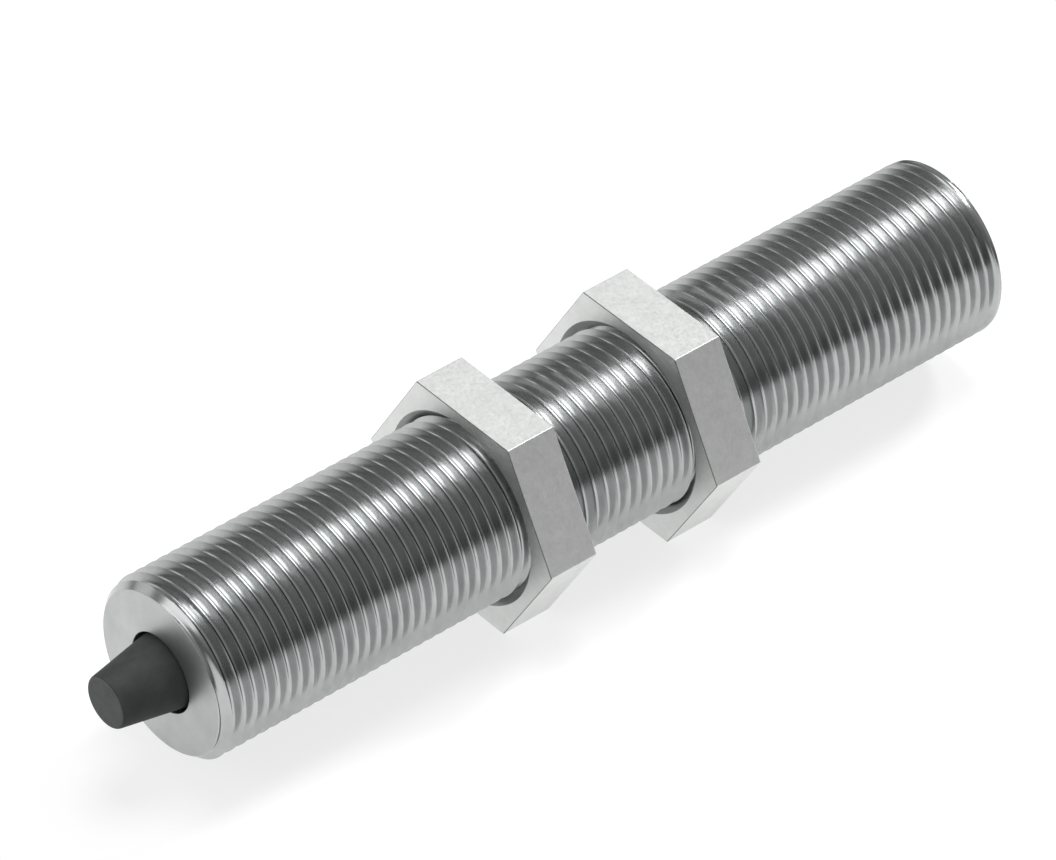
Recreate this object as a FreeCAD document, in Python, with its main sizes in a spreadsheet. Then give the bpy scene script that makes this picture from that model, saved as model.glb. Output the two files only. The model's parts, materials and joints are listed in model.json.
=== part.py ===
import FreeCAD, Part
import os

import Sketcher

# Threaded hydraulic shock absorber with a short stroke and two lock nuts, millimetres.
# The axis is X. X = 0 is the front stop face of the barrel, +X runs to the rear end,
# and +Z points up, square to a flat of each nut.

OUT_DIR = "parts"

# Driving dimensions. Lengths run along the axis.
SIZES = {
    # Barrel
    "barrel_diameter": 14.0,
    "barrel_length": 73.0,
    "barrel_front_chamfer": 0.7,
    "barrel_bore": 11.0,
    "nose_length": 9.0,
    "nose_bore": 6.2,
    # Stroke and elastomer cap
    "stroke": 4.8,
    "cap_stand_out": 0.04,
    "cap_tip_diameter": 4.0,
    "cap_cone_length": 5.54,
    "cap_skirt_length": 1.9,
    "cap_side_clearance": 0.15,
    "cap_stub_depth": 4.2,
    "cap_stub_diameter": 2.5,
    # Lock nuts
    "nut_wall": 1.45,
    "nut_thickness": 4.2,
    "nut_countersink": 0.5,
    "nut_running_clearance": 0.05,
    "front_nut_position": 27.0,
    "rear_nut_position": 42.5,
    # Rod and its bearing
    "rod_diameter": 4.0,
    "rod_end_chamfer": 0.2,
    "rod_running_clearance": 0.05,
    "bush_wall": 0.55,
    "bush_length": 9.0,
    "assembly_gap": 0.02,
    # Wiper and seal in the front pocket of the guide
    "seal_pocket_diameter": 7.8,
    "seal_lip_clearance": 0.03,
    "scraper_length": 1.6,
    "seal_length": 2.4,
    "seal_heel_length": 1.2,
    "seal_opening": 0.6,
    "seal_pocket_spare": 0.2,
    # Guide
    "guide_flange_length": 11.0,
    "guide_neck_length": 20.1,
    "oil_slot_width": 1.4,
    "oil_slot_reach": 2.0,
    # Ring gaskets in the front corners of guide and plug
    "gasket_section": 0.9,
    "gasket_width": 1.3,
    "gasket_side_gap": 0.3,
    # Accumulator sleeve
    "foam_end_gap": 0.6,
    "foam_gap": 0.1,
    # Pressure tube and its centring ring
    "tube_bore": 7.6,
    "tube_wall": 0.9,
    "centring_ring_length": 1.2,
    "centring_ring_offset": 4.1,
    "ring_notch_width": 1.6,
    "ring_notch_depth": 0.6,
    "orifice_diameter": 0.6,
    "orifice_start": 0.9,
    "orifice_first_step": 1.4,
    "orifice_step_ratio": 0.7,
    # Piston, check ring and piston nut
    "piston_running_clearance": 0.05,
    "piston_front_flange": 1.7,
    "piston_front_flange_diameter": 6.6,
    "piston_rear_flange": 1.5,
    "piston_groove_diameter": 5.2,
    "check_ring_length": 1.5,
    "check_ring_float": 0.3,
    "check_ring_bore": 6.0,
    "flow_slot_width": 1.2,
    "flow_slot_depth": 0.9,
    "piston_stub_diameter": 2.8,
    "piston_nut_length": 1.8,
    "piston_nut_diameter": 5.0,
    "piston_nut_across_flats": 4.2,
    "rod_thread_spare": 0.3,
    # Return spring
    "spring_wire": 0.6,
    "spring_wire_width": 0.8,
    "spring_mean_diameter": 6.3,
    "spring_turns": 3.0,
    # Rear plug with its driver slot, filling hole and screw
    "rear_recess": 0.8,
    "plug_spigot_length": 5.9,
    "plug_flange_length": 6.2,
    "driver_slot_width": 1.6,
    "driver_slot_depth": 1.2,
    "fill_hole_diameter": 1.2,
    "fill_seat_offset": 1.4,
    "fill_thread_diameter": 3.0,
    "fill_socket_across_flats": 1.5,
    "fill_socket_depth": 1.0,
}

# Places and sizes that follow from the driving dimensions.
DERIVED = {
    "barrel_radius": "sizes.barrel_diameter / 2",
    "bore_radius": "sizes.barrel_bore / 2",
    "nut_bore_radius": "sizes.barrel_diameter / 2 + sizes.nut_running_clearance",
    "nut_across_flats": "2 * (derived.nut_bore_radius + sizes.nut_wall)",
    "fitted_radius": "sizes.barrel_bore / 2 - sizes.assembly_gap",
    "rod_radius": "sizes.rod_diameter / 2",
    "rod_clear_radius": "sizes.rod_diameter / 2 + sizes.rod_running_clearance",
    "bush_radius": "sizes.rod_diameter / 2 + sizes.rod_running_clearance + sizes.bush_wall",
    "lip_radius": "sizes.rod_diameter / 2 + sizes.seal_lip_clearance",
    "pocket_radius": "sizes.seal_pocket_diameter / 2",
    "ring_seat_radius": "sizes.seal_pocket_diameter / 2 - sizes.assembly_gap",
    # Cap
    "cap_tip_x": "-sizes.stroke - sizes.cap_stand_out",
    "cap_skirt_x": "sizes.cap_cone_length - sizes.stroke - sizes.cap_stand_out",
    "cap_rear_x": "derived.cap_skirt_x + sizes.cap_skirt_length",
    "cap_radius": "sizes.nose_bore / 2 - sizes.cap_side_clearance",
    "cap_stub_radius": "sizes.cap_stub_diameter / 2",
    "cap_stub_x": "derived.cap_rear_x - sizes.cap_stub_depth",
    # Guide
    "guide_x": "sizes.nose_length",
    "seal_x": "sizes.nose_length + sizes.scraper_length",
    "pocket_end_x": "derived.seal_x + sizes.seal_length + sizes.seal_pocket_spare",
    "neck_x": "sizes.nose_length + sizes.guide_flange_length",
    "guide_end_x": "derived.neck_x + sizes.guide_neck_length",
    "spigot_radius": "sizes.tube_bore / 2 - sizes.assembly_gap",
    "ring_x": "derived.guide_end_x - sizes.centring_ring_offset",
    "gasket_floor_radius": "sizes.barrel_bore / 2 - sizes.gasket_section",
    "gasket_step_length": "sizes.gasket_width + sizes.gasket_side_gap",
    "foam_x": "derived.neck_x + sizes.foam_end_gap",
    # Rear plug, which closes the rear end of the barrel
    "plug_end_x": "sizes.barrel_length - sizes.rear_recess",
    "plug_x": "derived.plug_end_x - sizes.plug_flange_length",
    "driver_slot_x": "derived.plug_end_x - sizes.driver_slot_depth",
    "fill_radius": "sizes.fill_hole_diameter / 2",
    "fill_thread_radius": "sizes.fill_thread_diameter / 2",
    "fill_seat_x": "derived.plug_x + sizes.fill_seat_offset",
    "fill_cone_length": "derived.fill_thread_radius - derived.fill_radius",
    # Piston and spring: the piston rests on the end of the guide
    "piston_x": "derived.guide_end_x",
    "groove_length": "sizes.check_ring_length + sizes.check_ring_float",
    "piston_length": "sizes.piston_front_flange + derived.groove_length + sizes.piston_rear_flange",
    "piston_end_x": "derived.piston_x + derived.piston_length",
    "check_ring_x": "derived.piston_x + sizes.piston_front_flange",
    "stub_radius": "sizes.piston_stub_diameter / 2",
    "stub_hole_radius": "sizes.piston_stub_diameter / 2 + sizes.assembly_gap",
    "rod_end_x": "derived.piston_end_x + sizes.piston_nut_length + sizes.rod_thread_spare",
    "spring_end_x": "derived.plug_x - sizes.plug_spigot_length",
    "spring_length": "derived.spring_end_x - derived.piston_end_x",
    # Pressure tube
    "tube_x": "derived.ring_x + sizes.centring_ring_length",
    "tube_bore_radius": "sizes.tube_bore / 2",
    "tube_radius": "sizes.tube_bore / 2 + sizes.tube_wall",
    "orifice_x": "derived.check_ring_x + sizes.check_ring_length + sizes.orifice_start",
}

ORIFICE_COUNT = 4
ORIFICE_TURN = 90.0
FLOW_SLOT_COUNT = 4
RING_NOTCH_COUNT = 4


doc = FreeCAD.newDocument("shock_absorber")


def fill_sheet(name, cells):
    """Write the cells one below the other and give each its alias."""
    sheet = doc.addObject("Spreadsheet::Sheet", name)
    for row, (alias, value) in enumerate(cells.items(), start=1):
        sheet.set(f"A{row}", value)
        sheet.setAlias(f"A{row}", alias)
    return sheet


sizes = fill_sheet("sizes", {alias: str(value) for alias, value in SIZES.items()})
doc.recompute()


def read(expression):
    """Value of an expression in the two sheets, for the first draft of a sketch."""
    return float(sizes.evalExpression(expression))


derived = doc.addObject("Spreadsheet::Sheet", "derived")
for row, (alias, formula) in enumerate(DERIVED.items(), start=1):
    derived.set(f"A{row}", "=" + formula.replace("derived.", ""))
    derived.setAlias(f"A{row}", alias)
    doc.recompute()


def origin_plane(body, role):
    """Origin plane of a body, such as XY_Plane."""
    return next(part for part in body.Origin.OriginFeatures if part.Role == role)


def new_body(label):
    """Empty body whose label is the name of the piece."""
    body = doc.addObject("PartDesign::Body", label)
    body.Label = label
    return body


def new_sketch(body, name, plane, offset=None):
    """Sketch on an origin plane of its body, moved along the plane's normal by an expression."""
    sketch = body.newObject("Sketcher::SketchObject", name)
    sketch.AttachmentSupport = [(origin_plane(body, plane), "")]
    sketch.MapMode = "FlatFace"
    if offset is not None:
        sketch.setExpression("AttachmentOffset.Base.z", offset)
    return sketch


def draw_polygon(sketch, corners):
    """Closed outline whose every corner is held by two named, bound distances from the origin."""
    points = [FreeCAD.Vector(read(u), read(v), 0) for u, v in corners]
    count = len(points)
    lines = [Part.LineSegment(points[i], points[(i + 1) % count]) for i in range(count)]
    sketch.addGeometry(lines, False)
    for i in range(count):
        sketch.addConstraint(Sketcher.Constraint("Coincident", i, 2, (i + 1) % count, 1))
    for i, (u, v) in enumerate(corners):
        for kind, value, bound in (("DistanceX", points[i].x, u), ("DistanceY", points[i].y, v)):
            index = sketch.addConstraint(Sketcher.Constraint(kind, -1, 1, i, 1, value))
            name = f"corner_{i}_{kind[-1].lower()}"
            sketch.renameConstraint(index, name)
            sketch.setExpression(f"Constraints.{name}", bound)


def hexagon(across_flats):
    """Corners of a hexagon with one flat facing up, from its width across flats."""
    reach = f"({across_flats}) / sqrt(3)"
    return [(f"{reach} * cos({angle} deg)", f"{reach} * sin({angle} deg)") for angle in range(0, 360, 60)]


def turned(label, corners):
    """Turned piece: its half section, as (distance along the axis, radius), revolved about X."""
    body = new_body(label)
    sketch = new_sketch(body, f"{label}_section", "XY_Plane")
    draw_polygon(sketch, corners)
    revolution = body.newObject("PartDesign::Revolution", f"{label}_turned")
    revolution.Profile = sketch
    revolution.ReferenceAxis = (sketch, ["H_Axis"])
    revolution.Angle = 360
    return body


def cut_along_axis(body, sketch, length):
    """Pocket from the sketch plane towards +X."""
    doc.recompute()
    before = body.Shape.Volume
    pocket = body.newObject("PartDesign::Pocket", f"{sketch.Name}_cut")
    pocket.Profile = sketch
    pocket.Reversed = True
    pocket.setExpression("Length", length)
    doc.recompute()
    if body.Shape.Volume > before * 0.9999:
        raise RuntimeError(f"{sketch.Name} cuts nothing")
    return pocket


def repeat_around_axis(body, feature, count):
    """Polar pattern of a feature about the axis of the piece."""
    pattern = body.newObject("PartDesign::PolarPattern", f"{feature.Name}_pattern")
    pattern.Originals = [feature]
    pattern.Axis = (next(p for p in body.Origin.OriginFeatures if p.Role == "X_Axis"), [""])
    pattern.Angle = 360
    pattern.Occurrences = count
    body.Tip = pattern
    return pattern


def make_outer_tube():
    """Barrel: a solid nose whose face is the stop, and a bore that is open at the rear."""
    length = "sizes.barrel_length"
    radius = "derived.barrel_radius"
    return turned("outer_tube", [
        ("0", "sizes.nose_bore / 2"),
        ("0", f"{radius} - sizes.barrel_front_chamfer"),
        ("sizes.barrel_front_chamfer", radius),
        (length, radius),
        (length, "derived.bore_radius"),
        ("sizes.nose_length", "derived.bore_radius"),
        ("sizes.nose_length", "sizes.nose_bore / 2"),
    ])


def make_impact_cap():
    """Elastomer button: a cone that stands out of the nose, a guided skirt and a blind hole."""
    return turned("impact_cap", [
        ("derived.cap_tip_x", "0"),
        ("derived.cap_tip_x", "sizes.cap_tip_diameter / 2"),
        ("derived.cap_skirt_x", "derived.cap_radius"),
        ("derived.cap_rear_x", "derived.cap_radius"),
        ("derived.cap_rear_x", "derived.cap_stub_radius"),
        ("derived.cap_stub_x", "derived.cap_stub_radius"),
        ("derived.cap_stub_x", "0"),
    ])


def make_piston_rod():
    """Rod with a front stub for the cap and a rear stub for the piston."""
    return turned("piston_rod", [
        ("derived.cap_stub_x", "0"),
        ("derived.cap_stub_x", "derived.cap_stub_radius"),
        ("derived.cap_rear_x", "derived.cap_stub_radius"),
        ("derived.cap_rear_x", "derived.rod_radius"),
        ("derived.piston_x", "derived.rod_radius"),
        ("derived.piston_x", "derived.stub_radius"),
        ("derived.rod_end_x - sizes.rod_end_chamfer", "derived.stub_radius"),
        ("derived.rod_end_x", "derived.stub_radius - sizes.rod_end_chamfer"),
        ("derived.rod_end_x", "0"),
    ])


def make_nut(label, position):
    """Thin lock nut: a hexagonal prism with a bore that is countersunk from both sides."""
    body = new_body(label)
    outline = new_sketch(body, f"{label}_outline", "YZ_Plane")
    draw_polygon(outline, hexagon("derived.nut_across_flats"))
    prism = body.newObject("PartDesign::Pad", f"{label}_prism")
    prism.Profile = outline
    prism.setExpression("Length", "sizes.nut_thickness")
    doc.recompute()
    before = body.Shape.Volume
    bore = "derived.nut_bore_radius"
    mouth = f"{bore} + sizes.nut_countersink"
    section = new_sketch(body, f"{label}_bore_section", "XY_Plane")
    draw_polygon(section, [
        ("0", "0"),
        ("0", mouth),
        ("sizes.nut_countersink", bore),
        ("sizes.nut_thickness - sizes.nut_countersink", bore),
        ("sizes.nut_thickness", mouth),
        ("sizes.nut_thickness", "0"),
    ])
    groove = body.newObject("PartDesign::Groove", f"{label}_bore")
    groove.Profile = section
    groove.ReferenceAxis = (section, ["H_Axis"])
    groove.Angle = 360
    body.setExpression("Placement.Base.x", position)
    doc.recompute()
    if body.Shape.Volume > before * 0.9:
        raise RuntimeError(f"the bore of {label} cuts nothing")
    return body


def make_scraper():
    """Wiper ring of square section between the nose and the seal."""
    body = turned("scraper", [
        ("0", "derived.lip_radius"),
        ("0", "derived.ring_seat_radius"),
        ("sizes.scraper_length", "derived.ring_seat_radius"),
        ("sizes.scraper_length", "derived.lip_radius"),
    ])
    body.setExpression("Placement.Base.x", "derived.guide_x")
    return body


def make_rod_seal():
    """Seal whose front end is a straight land on the rod and whose rear end opens to the oil."""
    inner = "derived.lip_radius"
    outer = "derived.ring_seat_radius"
    body = turned("rod_seal", [
        ("0", inner),
        ("0", outer),
        ("sizes.seal_length", outer),
        ("sizes.seal_length", f"{inner} + sizes.seal_opening"),
        ("sizes.seal_heel_length", inner),
    ])
    body.setExpression("Placement.Base.x", "derived.seal_x")
    return body


def make_rod_guide():
    """Guide: flange with seal pocket and gasket step, then a hollow neck with a slotted end."""
    step_end = "derived.guide_x + derived.gasket_step_length"
    inside = "derived.bush_radius"
    body = turned("rod_guide", [
        ("derived.guide_x", "derived.pocket_radius"),
        ("derived.guide_x", "derived.gasket_floor_radius"),
        (step_end, "derived.gasket_floor_radius"),
        (step_end, "derived.fitted_radius"),
        ("derived.neck_x", "derived.fitted_radius"),
        ("derived.neck_x", "derived.spigot_radius"),
        ("derived.guide_end_x", "derived.spigot_radius"),
        ("derived.guide_end_x", inside),
        ("derived.pocket_end_x", inside),
        ("derived.pocket_end_x", "derived.pocket_radius"),
    ])
    doc.recompute()
    before = body.Shape.Volume
    slot = new_sketch(body, "oil_slot", "XY_Plane")
    half = "sizes.oil_slot_width / 2"
    start = "derived.ring_x - sizes.oil_slot_reach"
    draw_polygon(slot, [
        (start, f"-{half}"),
        ("derived.guide_end_x", f"-{half}"),
        ("derived.guide_end_x", half),
        (start, half),
    ])
    pocket = body.newObject("PartDesign::Pocket", "oil_slot_cut")
    pocket.Profile = slot
    pocket.Midplane = True
    pocket.setExpression("Length", "sizes.barrel_bore")
    doc.recompute()
    if body.Shape.Volume >= before:
        raise RuntimeError("the oil slot cuts nothing")
    return body


def make_guide_bush():
    """Plain bearing, pushed in from the rear against the shoulder of the guide."""
    outer = "derived.bush_radius - sizes.assembly_gap"
    body = turned("guide_bush", [
        ("0", "derived.rod_clear_radius"),
        ("0", outer),
        ("sizes.bush_length", outer),
        ("sizes.bush_length", "derived.rod_clear_radius"),
    ])
    body.setExpression("Placement.Base.x", "derived.pocket_end_x")
    return body


def make_gasket(label, start):
    """Square-cut ring gasket, squeezed between the floor of its step and the bore of the barrel."""
    inner = "derived.gasket_floor_radius"
    outer = "derived.bore_radius"
    body = turned(label, [
        ("0", inner),
        ("0", outer),
        ("sizes.gasket_width", outer),
        ("sizes.gasket_width", inner),
    ])
    body.setExpression("Placement.Base.x", start)
    return body


def make_accumulator_foam():
    """Closed-cell sleeve round the neck of the guide, up against the centring ring."""
    inner = "derived.spigot_radius + sizes.foam_gap"
    outer = "derived.bore_radius - sizes.foam_gap"
    return turned("accumulator_foam", [
        ("derived.foam_x", inner),
        ("derived.foam_x", outer),
        ("derived.ring_x", outer),
        ("derived.ring_x", inner),
    ])


def make_centring_ring():
    """Ring pressed on the neck as the stop of the tube, notched so that oil passes forward."""
    outer = "derived.fitted_radius"
    body = turned("centring_ring", [
        ("0", "derived.spigot_radius"),
        ("0", outer),
        ("sizes.centring_ring_length", outer),
        ("sizes.centring_ring_length", "derived.spigot_radius"),
    ])
    body.setExpression("Placement.Base.x", "derived.ring_x")
    notch = new_sketch(body, "ring_notch", "YZ_Plane")
    half = "sizes.ring_notch_width / 2"
    floor = f"{outer} - sizes.ring_notch_depth"
    rim = f"{outer} + sizes.ring_notch_depth"
    draw_polygon(notch, [(f"-{half}", floor), (half, floor), (half, rim), (f"-{half}", rim)])
    cut = cut_along_axis(body, notch, "sizes.centring_ring_length")
    repeat_around_axis(body, cut, RING_NOTCH_COUNT)
    return body


def make_pressure_tube():
    """Inner tube with metering orifices that crowd together towards the end of the stroke."""
    blank = turned("pressure_tube_blank", [
        ("derived.tube_x", "derived.tube_bore_radius"),
        ("derived.tube_x", "derived.tube_radius"),
        ("derived.plug_x", "derived.tube_radius"),
        ("derived.plug_x", "derived.tube_bore_radius"),
    ])
    drills = []
    for index in range(ORIFICE_COUNT):
        drill = doc.addObject("Part::Cylinder", f"orifice_{index}")
        drill.setExpression("Radius", "sizes.orifice_diameter / 2")
        drill.setExpression("Height", "derived.bore_radius")
        steps = f"(1 - sizes.orifice_step_ratio ^ {index}) / (1 - sizes.orifice_step_ratio)"
        place = f"derived.orifice_x + sizes.orifice_first_step * {steps}"
        drill.setExpression("Placement.Base.x", place)
        drill.Placement.Rotation = FreeCAD.Rotation(FreeCAD.Vector(1, 0, 0), ORIFICE_TURN * index)
        drills.append(drill)
    all_drills = doc.addObject("Part::MultiFuse", "orifice_drills")
    all_drills.Shapes = drills
    tube = doc.addObject("Part::Cut", "pressure_tube")
    tube.Base = blank
    tube.Tool = all_drills
    return tube


def make_piston():
    """Piston: front flange as the seat of the check ring, groove, slotted rear flange."""
    outer = "derived.tube_bore_radius - sizes.piston_running_clearance"
    seat = "sizes.piston_front_flange_diameter / 2"
    floor = "sizes.piston_groove_diameter / 2"
    groove_end = "sizes.piston_front_flange + derived.groove_length"
    body = turned("piston", [
        ("0", "derived.stub_hole_radius"),
        ("0", seat),
        ("sizes.piston_front_flange", seat),
        ("sizes.piston_front_flange", floor),
        (groove_end, floor),
        (groove_end, outer),
        ("derived.piston_length", outer),
        ("derived.piston_length", "derived.stub_hole_radius"),
    ])
    body.setExpression("Placement.Base.x", "derived.piston_x")
    slot = new_sketch(body, "flow_slot", "YZ_Plane", offset=groove_end)
    half = "sizes.flow_slot_width / 2"
    bottom = f"{outer} - sizes.flow_slot_depth"
    rim = f"{outer} + sizes.flow_slot_depth"
    draw_polygon(slot, [(f"-{half}", bottom), (half, bottom), (half, rim), (f"-{half}", rim)])
    cut = cut_along_axis(body, slot, "sizes.piston_rear_flange")
    repeat_around_axis(body, cut, FLOW_SLOT_COUNT)
    return body


def make_check_ring():
    """Ring that closes on the front flange of the piston and floats back on the return stroke."""
    outer = "derived.tube_bore_radius - sizes.piston_running_clearance"
    inner = "sizes.check_ring_bore / 2"
    body = turned("check_ring", [
        ("0", inner),
        ("0", outer),
        ("sizes.check_ring_length", outer),
        ("sizes.check_ring_length", inner),
    ])
    body.setExpression("Placement.Base.x", "derived.check_ring_x")
    return body


def make_piston_nut():
    """Round nut with two flats that clamps the piston and guides the spring from inside."""
    body = turned("piston_nut", [
        ("0", "derived.stub_hole_radius"),
        ("0", "sizes.piston_nut_diameter / 2"),
        ("sizes.piston_nut_length", "sizes.piston_nut_diameter / 2"),
        ("sizes.piston_nut_length", "derived.stub_hole_radius"),
    ])
    body.setExpression("Placement.Base.x", "derived.piston_end_x")
    flat = new_sketch(body, "nut_flat", "YZ_Plane")
    half = "sizes.piston_nut_diameter / 2"
    low = "sizes.piston_nut_across_flats / 2"
    draw_polygon(flat, [(f"-{half}", low), (half, low), (half, half), (f"-{half}", half)])
    cut = cut_along_axis(body, flat, "sizes.piston_nut_length")
    repeat_around_axis(body, cut, 2)
    return body


def make_return_spring():
    """Flat-wire spring whose ends are ground flat on the piston and on the plug."""
    helix = doc.addObject("Part::Helix", "spring_line")
    helix.setExpression("Radius", "sizes.spring_mean_diameter / 2")
    helix.setExpression("Height", "derived.spring_length + sizes.spring_wire")
    helix.setExpression("Pitch", "(derived.spring_length + sizes.spring_wire) / sizes.spring_turns")
    helix.setExpression("Placement.Base.z", "-sizes.spring_wire / 2")
    section = doc.addObject("Part::Plane", "spring_section")
    section.setExpression("Length", "sizes.spring_wire_width")
    section.setExpression("Width", "sizes.spring_wire")
    section.Placement.Rotation = FreeCAD.Rotation(FreeCAD.Vector(1, 0, 0), 90)
    section.setExpression("Placement.Base.x", "(sizes.spring_mean_diameter - sizes.spring_wire_width) / 2")
    section.setExpression("Placement.Base.z", "-sizes.spring_wire")
    doc.recompute()
    coil = doc.addObject("Part::Sweep", "spring_coil")
    coil.Sections = [section]
    coil.Spine = (helix, [f"Edge{i}" for i in range(1, len(helix.Shape.Edges) + 1)])
    coil.Solid = True
    coil.Frenet = True
    room = doc.addObject("Part::Cylinder", "spring_room")
    room.setExpression("Radius", "derived.bore_radius")
    room.setExpression("Height", "derived.spring_length")
    spring = doc.addObject("Part::Common", "return_spring")
    spring.Base = coil
    spring.Tool = room
    spring.Placement.Rotation = FreeCAD.Rotation(FreeCAD.Vector(0, 1, 0), 90)
    spring.setExpression("Placement.Base.x", "derived.piston_end_x")
    return spring


def make_rear_plug():
    """Plug: spigot for tube and spring, flange with gasket step, filling hole, driver slot."""
    outer = "derived.fitted_radius"
    step_end = "derived.plug_x + derived.gasket_step_length"
    body = turned("rear_plug", [
        ("derived.spring_end_x", "derived.fill_radius"),
        ("derived.spring_end_x", "derived.spigot_radius"),
        ("derived.plug_x", "derived.spigot_radius"),
        ("derived.plug_x", "derived.gasket_floor_radius"),
        (step_end, "derived.gasket_floor_radius"),
        (step_end, outer),
        ("derived.plug_end_x", outer),
        ("derived.plug_end_x", "derived.fill_thread_radius"),
        ("derived.fill_seat_x + derived.fill_cone_length", "derived.fill_thread_radius"),
        ("derived.fill_seat_x", "derived.fill_radius"),
    ])
    slot = new_sketch(body, "driver_slot", "YZ_Plane", offset="derived.driver_slot_x")
    half = "sizes.driver_slot_width / 2"
    reach = "derived.bore_radius"
    draw_polygon(slot, [(f"-{reach}", f"-{half}"), (reach, f"-{half}"), (reach, half), (f"-{reach}", half)])
    cut_along_axis(body, slot, "sizes.driver_slot_depth")
    return body


def make_fill_screw():
    """Set screw whose cone point closes the filling hole, with a hexagon socket in its rear face."""
    radius = "derived.fill_thread_radius - sizes.assembly_gap"
    length = "derived.driver_slot_x - derived.fill_seat_x"
    body = turned("fill_screw", [
        ("0", "0"),
        ("0", "derived.fill_radius - sizes.assembly_gap"),
        ("derived.fill_cone_length", radius),
        (length, radius),
        (length, "0"),
    ])
    body.setExpression("Placement.Base.x", "derived.fill_seat_x")
    socket = new_sketch(body, "fill_socket", "YZ_Plane", offset=f"{length} - sizes.fill_socket_depth")
    draw_polygon(socket, hexagon("sizes.fill_socket_across_flats"))
    cut_along_axis(body, socket, "sizes.fill_socket_depth")
    return body


pieces = [
    make_outer_tube(),
    make_nut("front_nut", "sizes.front_nut_position"),
    make_nut("rear_nut", "sizes.rear_nut_position"),
    make_impact_cap(),
    make_piston_rod(),
    make_scraper(),
    make_rod_seal(),
    make_rod_guide(),
    make_guide_bush(),
    make_gasket("guide_gasket", "derived.guide_x"),
    make_accumulator_foam(),
    make_centring_ring(),
    make_pressure_tube(),
    make_piston(),
    make_check_ring(),
    make_piston_nut(),
    make_return_spring(),
    make_rear_plug(),
    make_gasket("plug_gasket", "derived.plug_x + sizes.gasket_side_gap"),
    make_fill_screw(),
]

doc.recompute()

failed = [item.Label for item in doc.Objects if {"Invalid", "Error"} & set(item.State)]
if failed:
    raise RuntimeError(f"objects that did not compute: {failed}")
for piece in pieces:
    if piece.Shape.isNull() or not piece.Shape.isValid() or len(piece.Shape.Solids) != 1:
        raise RuntimeError(f"{piece.Label} is not one valid solid")

os.makedirs(OUT_DIR, exist_ok=True)
for piece in pieces:
    piece.Shape.exportStep(os.path.join(OUT_DIR, f"{piece.Label}.step"))
    print(f"{piece.Label}: {piece.Shape.Volume:.2f} mm3")
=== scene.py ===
"""Looks of a threaded hydraulic shock absorber with two lock nuts.

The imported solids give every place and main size. This script cuts the real thread into the barrel and
the nuts, winds the return spring, rounds the edges and the moulded rings, dresses every piece in a
procedural finish and sets up a plain studio. The part's axis is X. Names that end in _mm, _m or _deg hold
millimetres, metres or degrees; meshes are in metres.
"""

import json
import logging
import math
from dataclasses import dataclass
from enum import Enum
from typing import Sequence

import bmesh
import bpy
from mathutils import Matrix, Vector


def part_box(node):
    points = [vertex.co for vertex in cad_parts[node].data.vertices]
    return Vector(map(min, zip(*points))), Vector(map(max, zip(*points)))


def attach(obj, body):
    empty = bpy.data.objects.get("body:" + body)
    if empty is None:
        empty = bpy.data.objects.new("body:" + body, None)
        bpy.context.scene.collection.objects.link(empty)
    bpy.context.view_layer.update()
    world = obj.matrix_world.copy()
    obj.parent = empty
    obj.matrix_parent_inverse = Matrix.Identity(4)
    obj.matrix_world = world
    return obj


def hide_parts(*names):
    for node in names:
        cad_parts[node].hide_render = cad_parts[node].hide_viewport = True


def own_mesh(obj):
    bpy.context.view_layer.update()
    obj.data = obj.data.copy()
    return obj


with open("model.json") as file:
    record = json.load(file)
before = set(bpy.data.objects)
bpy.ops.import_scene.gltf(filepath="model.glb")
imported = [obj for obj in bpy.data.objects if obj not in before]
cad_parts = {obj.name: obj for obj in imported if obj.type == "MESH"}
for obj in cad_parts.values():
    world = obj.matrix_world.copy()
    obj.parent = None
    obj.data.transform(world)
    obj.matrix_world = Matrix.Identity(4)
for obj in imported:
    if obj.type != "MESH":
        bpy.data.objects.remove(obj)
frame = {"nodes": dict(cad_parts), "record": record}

MM = 0.001
FULL_TURN = 2 * math.pi
WELD_M = 1e-6
SLIVER_M = 1e-8
EDGE_LINE = "edge_line"
LOG = logging.getLogger("shock_absorber")

Point = tuple[float, float]
Colour = tuple[float, float, float]
Socket = bpy.types.NodeSocket
Inputs = dict[str | int, object]


class Side(Enum):
    """Side of the material on which a thread is cut."""

    OUTSIDE = 1
    INSIDE = -1


class Slot(Enum):
    """Material slots of the record."""

    BARREL = "stainless_thread"
    NUT = "plated_nut"
    CAP = "cap_elastomer"
    CHROME = "hard_chrome"
    TURNED = "turned_steel"
    SPRING = "spring_steel"
    BRONZE = "bearing_bronze"
    RUBBER = "seal_rubber"
    WIPER = "wiper_polymer"
    FOAM = "closed_cell_foam"
    BLACK = "black_steel"


# Sizes and names from the frame


def box_mm(node: str) -> tuple[Vector, Vector]:
    """Lowest and highest corner of a CAD node, in mm."""
    low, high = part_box(node)
    return Vector(low) / MM, Vector(high) / MM


def body_of(node: str) -> str:
    """Body that a CAD node moves with."""
    bodies = frame["record"]["behaviour"]["bodies"]
    return next(body for body, nodes in bodies.items() if node in nodes)


def slot_of(node: str) -> Slot:
    """Material slot of a CAD node."""
    parts = frame["record"]["subparts"]
    return Slot(next(part["material_slot"] for part in parts if part["node"] == node))


# Nodes


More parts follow.
